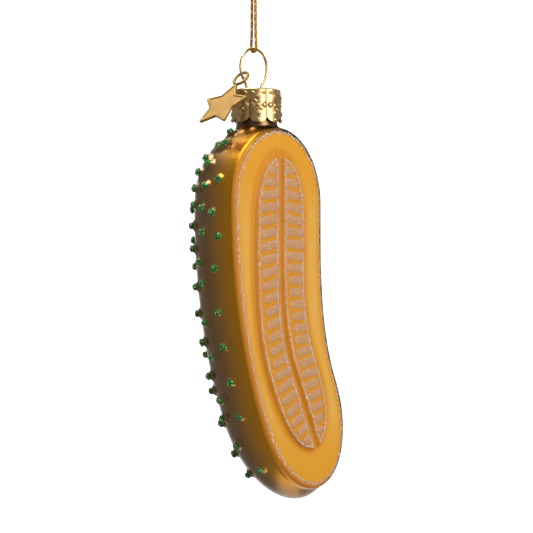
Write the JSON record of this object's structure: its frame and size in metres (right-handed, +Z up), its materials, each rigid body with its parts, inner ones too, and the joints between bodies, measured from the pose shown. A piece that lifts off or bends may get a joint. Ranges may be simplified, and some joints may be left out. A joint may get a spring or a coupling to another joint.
{
  "type": "hanging pickle ornament",
  "caption": "Hollow blown-glass pickle cut lengthwise, with seed pods and glitter lines on its face, hung by a scalloped cap, wire ring, star charm and knotted cord.",
  "frame": {"origin": "centre of the hanger ring's eye, where the ornament is hung", "axes": "+Z up along the cord, -Y the way the cut face looks, +X to the right of someone facing it"},
  "size_m": [0.044, 0.0228, 0.1303],
  "materials": {
    "lacquered_glass": "blown glass, opaque metallic lacquer on the rind and matte lacquer on the face",
    "green_glitter": "glued green glitter",
    "pale_glitter": "glued iridescent white glitter",
    "cap_brass": "stamped, bright gold",
    "wire_brass": "drawn, bright gold",
    "charm_brass": "cast, satin gold",
    "gold_cord": "twisted metallic thread"
  },
  "bodies": {
    "hanger": {"hanger_wire": "wire_brass", "cap": "cap_brass", "hang_cord": "gold_cord", "cord_knot": "gold_cord"},
    "glass": {"glass_body": "lacquered_glass", "wart_glitter": "green_glitter", "rim_glitter_line": "pale_glitter", "pod_glitter_lines": "pale_glitter"},
    "charm": {"star_charm": "charm_brass"}
  },
  "joints": [
    {"name": "cap_pull", "type": "slide", "parent": "hanger", "child": "glass", "axis": [0, 0, -1], "range_m": [0, 0.015]},
    {"name": "charm_swing", "type": "hinge", "parent": "hanger", "child": "charm", "pos_m": [-0.00359, 0, -0.0028], "axis": [0, 1, 0], "range_deg": [0, 55]}
  ]
}
